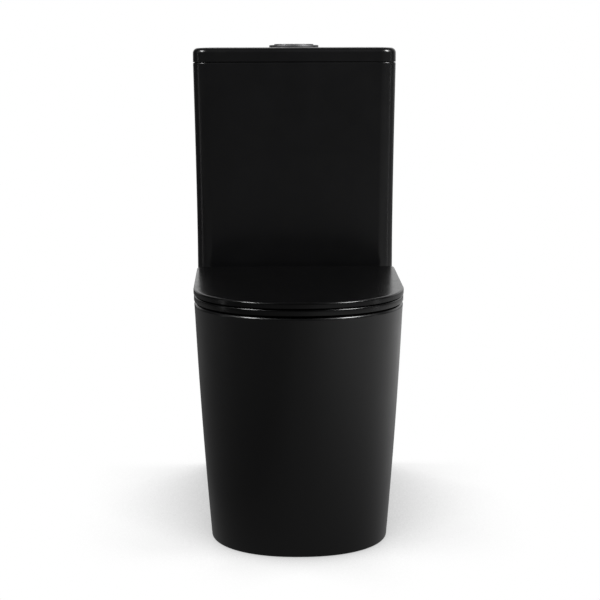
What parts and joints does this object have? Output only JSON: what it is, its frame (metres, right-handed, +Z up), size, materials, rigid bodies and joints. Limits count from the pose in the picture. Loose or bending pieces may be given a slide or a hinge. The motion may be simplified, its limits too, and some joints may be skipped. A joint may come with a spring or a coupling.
{
  "type": "close coupled toilet",
  "caption": "Black close coupled toilet with a fully skirted back-to-wall pan, a slim soft-close seat and lid, and a tapered cistern with round push buttons.",
  "frame": {"origin": "on the floor, at the middle of the toilet's width and depth", "axes": "+Z up, -Y the front of the pan, +Y to the wall, +X to the right of someone who faces the toilet"},
  "size_m": [0.368, 0.665, 0.8152],
  "materials": {
    "black_ceramic": "satin black glazed ceramic",
    "black_seat_resin": "satin black moulded thermoset resin",
    "dark_chrome": "dark satin chrome",
    "black_plastic": "moulded black",
    "rubber": "soft black",
    "stainless_steel": "plain",
    "white_plastic": "moulded white",
    "grey_plastic": "moulded grey"
  },
  "bodies": {
    "pan_and_cistern": {"pan": "black_ceramic", "pan_bowl": "black_ceramic", "pan_trap": "black_ceramic", "cistern_tank": "black_ceramic", "doughnut_washer": "rubber", "coupling_bolt_left": "stainless_steel", "coupling_bolt_right": "stainless_steel", "coupling_cone_left": "rubber", "coupling_cone_right": "rubber", "coupling_nut_left": "black_plastic", "coupling_nut_right": "black_plastic", "floor_bracket_left": "grey_plastic", "floor_bracket_right": "grey_plastic", "side_screw_left": "stainless_steel", "side_screw_right": "stainless_steel", "side_cap_left": "black_plastic", "side_cap_right": "black_plastic", "hinge_post_left": "black_plastic", "hinge_post_right": "black_plastic", "hinge_stud_left": "stainless_steel", "hinge_stud_right": "stainless_steel", "hinge_nut_left": "black_plastic", "hinge_nut_right": "black_plastic", "valve_washer": "rubber", "flush_valve_body": "white_plastic", "flush_valve_nut": "black_plastic", "flush_valve_cap": "grey_plastic", "fill_valve_washer": "rubber", "fill_valve_body": "white_plastic", "fill_valve_nut": "white_plastic", "fill_valve_head": "grey_plastic"},
    "seat_ring": {"seat_ring": "black_seat_resin", "seat_damper": "grey_plastic", "hinge_pin_left": "stainless_steel", "seat_buffer_front_left": "rubber", "seat_buffer_front_right": "rubber", "seat_buffer_rear_left": "rubber", "seat_buffer_rear_right": "rubber"},
    "seat_lid": {"seat_lid": "black_seat_resin", "lid_damper": "grey_plastic", "hinge_pin_right": "stainless_steel", "lid_buffer_left": "rubber", "lid_buffer_right": "rubber"},
    "cistern_lid": {"cistern_lid": "black_ceramic", "button_bezel": "dark_chrome", "button_locknut": "grey_plastic", "full_flush_spring": "stainless_steel", "half_flush_spring": "stainless_steel"},
    "full_flush_button": {"full_flush_button": "dark_chrome", "full_flush_rod": "white_plastic"},
    "half_flush_button": {"half_flush_button": "dark_chrome", "half_flush_rod": "white_plastic"},
    "full_flush_lever": {"full_flush_lever": "grey_plastic"},
    "half_flush_lever": {"half_flush_lever": "grey_plastic"},
    "overflow_tube": {"overflow_tube": "grey_plastic", "flush_seal": "rubber"},
    "half_flush_cup": {"half_flush_cup": "white_plastic"},
    "fill_valve_float": {"fill_valve_float": "white_plastic", "float_link": "stainless_steel"},
    "float_arm": {"float_arm": "white_plastic"}
  },
  "joints": [
    {"name": "seat_hinge", "type": "hinge", "parent": "pan_and_cistern", "child": "seat_ring", "pos_m": [0, 0.1065, 0.4055], "axis": [-1, 0, 0], "range_deg": [0, 93]},
    {"name": "lid_hinge", "type": "hinge", "parent": "seat_ring", "child": "seat_lid", "pos_m": [0, 0.1065, 0.4055], "axis": [1, 0, 0], "range_deg": [-94, 0]},
    {"name": "cistern_lid_lift", "type": "slide", "parent": "pan_and_cistern", "child": "cistern_lid", "axis": [0, 0, 1], "range_m": [0, 0.2]},
    {"name": "full_button_press", "type": "slide", "parent": "cistern_lid", "child": "full_flush_button", "axis": [0, 0, -1], "range_m": [0, 0.006], "stiffness_N_per_m": 250, "springref_m": -0.02, "deforming": ["full_flush_spring"]},
    {"name": "half_button_press", "type": "slide", "parent": "cistern_lid", "child": "half_flush_button", "axis": [0, 0, -1], "range_m": [0, 0.006], "stiffness_N_per_m": 250, "springref_m": -0.02, "deforming": ["half_flush_spring"]},
    {"name": "full_lever_pivot", "type": "hinge", "parent": "pan_and_cistern", "child": "full_flush_lever", "pos_m": [0.017, 0.2425, 0.5857], "axis": [0, 1, 0], "range_deg": [0, 33.1]},
    {"name": "half_lever_pivot", "type": "hinge", "parent": "pan_and_cistern", "child": "half_flush_lever", "pos_m": [-0.017, 0.2425, 0.5857], "axis": [0, -1, 0], "range_deg": [0, 33.1]},
    {"name": "tube_lift", "type": "slide", "parent": "pan_and_cistern", "child": "overflow_tube", "axis": [0, 0, 1], "range_m": [0, 0.0097]},
    {"name": "half_cup_lift", "type": "slide", "parent": "overflow_tube", "child": "half_flush_cup", "axis": [0, 0, 1], "range_m": [0, 0.0097]},
    {"name": "float_rise", "type": "slide", "parent": "pan_and_cistern", "child": "fill_valve_float", "axis": [0, 0, 1], "range_m": [0, 0.012]},
    {"name": "float_arm_pivot", "type": "hinge", "parent": "pan_and_cistern", "child": "float_arm", "pos_m": [-0.13, 0.2425, 0.715], "axis": [0, -1, 0], "range_deg": [0, 22.7]}
  ],
  "couplings": [
    {"joint": "full_lever_pivot", "follows": "full_button_press", "rad_per_m": 96},
    {"joint": "tube_lift", "follows": "full_button_press", "ratio": 1.6},
    {"joint": "half_lever_pivot", "follows": "half_button_press", "rad_per_m": 96},
    {"joint": "half_cup_lift", "follows": "half_button_press", "ratio": 1.6},
    {"joint": "float_arm_pivot", "follows": "float_rise", "rad_per_m": 32.9}
  ]
}
